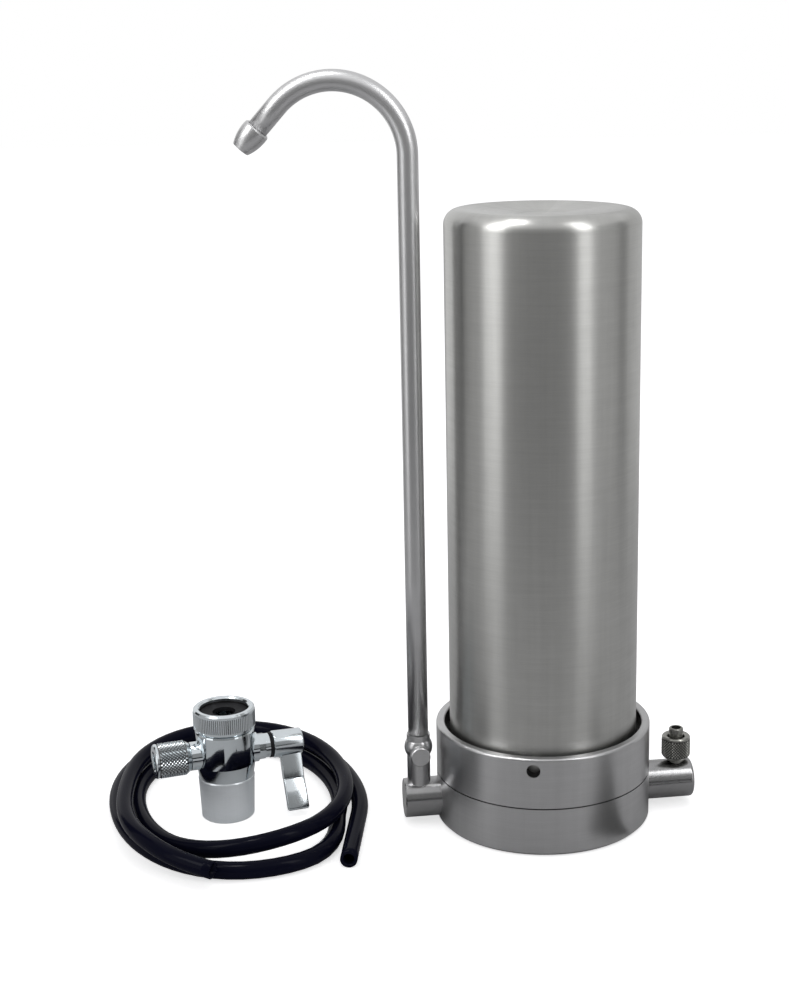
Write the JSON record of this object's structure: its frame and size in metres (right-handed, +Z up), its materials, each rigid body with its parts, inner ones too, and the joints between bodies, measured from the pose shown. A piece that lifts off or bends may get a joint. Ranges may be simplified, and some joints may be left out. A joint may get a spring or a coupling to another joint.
{
  "type": "benchtop water filter",
  "caption": "Tall steel filter housing on a round base with a collar ring, swivelling swan-neck spout, inlet fitting, tap diverter and coiled hose.",
  "frame": {"origin": "centre of the foot pad's underside, on the axis of the base and housing", "axes": "+Z up along the housing; the side stubs lie along X with the outlet and spout at -X and the inlet at +X; the front with the spanner hole is -Y"},
  "size_m": [0.281, 0.1701, 0.3513],
  "materials": {
    "brushed_steel": "fine brushed",
    "dark_steel": "plain turned",
    "chrome": "polished plating",
    "satin_chrome": "satin plating",
    "black_rubber": "matt",
    "white_plastic": "moulded",
    "carbon": "pressed block, matt",
    "black_hose": "glossy extruded"
  },
  "bodies": {
    "base": {"base_block": "brushed_steel", "foot_pad": "black_rubber", "outlet_stub": "brushed_steel", "inlet_stub": "brushed_steel", "housing_seal": "black_rubber", "outlet_riser": "brushed_steel", "riser_plug": "brushed_steel", "retaining_pin": "dark_steel", "inlet_nipple": "dark_steel", "cartridge_bottom_cap": "white_plastic", "cartridge_top_cap": "white_plastic", "cartridge_core": "white_plastic", "cartridge_block": "carbon", "cartridge_net": "white_plastic", "cartridge_seal": "black_rubber", "diverter_body": "chrome", "diverter_outlet": "satin_chrome", "aerator_insert": "black_rubber", "tap_washer": "black_rubber", "diverter_nipple": "chrome", "diverter_bonnet": "chrome", "lever_ring": "black_rubber", "hose": "black_hose"},
    "housing": {"housing_can": "brushed_steel"},
    "collar": {"collar_ring": "brushed_steel"},
    "spout": {"spout_tube": "brushed_steel", "spout_insert": "dark_steel", "insert_seals": "black_rubber", "spout_nozzle": "brushed_steel"},
    "inlet_nut": {"inlet_nut": "dark_steel"},
    "tap_nut": {"tap_nut": "chrome"},
    "hose_nut": {"hose_nut": "chrome"},
    "lever": {"diverter_spool": "dark_steel", "spool_seals": "black_rubber", "diverter_lever": "chrome"}
  },
  "joints": [
    {"name": "housing_lift", "type": "slide", "parent": "base", "child": "housing", "axis": [0, 0, -1], "range_m": [-0.25, 0]},
    {"name": "collar_turn", "type": "hinge", "parent": "housing", "child": "collar", "pos_m": [0, 0, 0.036], "axis": [0, 0, 1], "continuous": true},
    {"name": "spout_swivel", "type": "hinge", "parent": "base", "child": "spout", "pos_m": [-0.06015, 0, 0.04], "axis": [0, 0, 1], "continuous": true},
    {"name": "inlet_nut_turn", "type": "hinge", "parent": "base", "child": "inlet_nut", "pos_m": [0.066, 0, 0.028], "axis": [0, 0, 1], "continuous": true},
    {"name": "tap_nut_turn", "type": "hinge", "parent": "base", "child": "tap_nut", "pos_m": [-0.1507, 0.0228, 0.05], "axis": [0, 0, 1], "continuous": true},
    {"name": "hose_nut_turn", "type": "hinge", "parent": "base", "child": "hose_nut", "pos_m": [-0.1507, 0.0228, 0.032], "axis": [-0.9801, -0.1983, 0], "continuous": true},
    {"name": "lever_turn", "type": "hinge", "parent": "base", "child": "lever", "pos_m": [-0.1507, 0.0228, 0.032], "axis": [0.9801, 0.1983, 0], "range_deg": [-90, 0]}
  ]
}
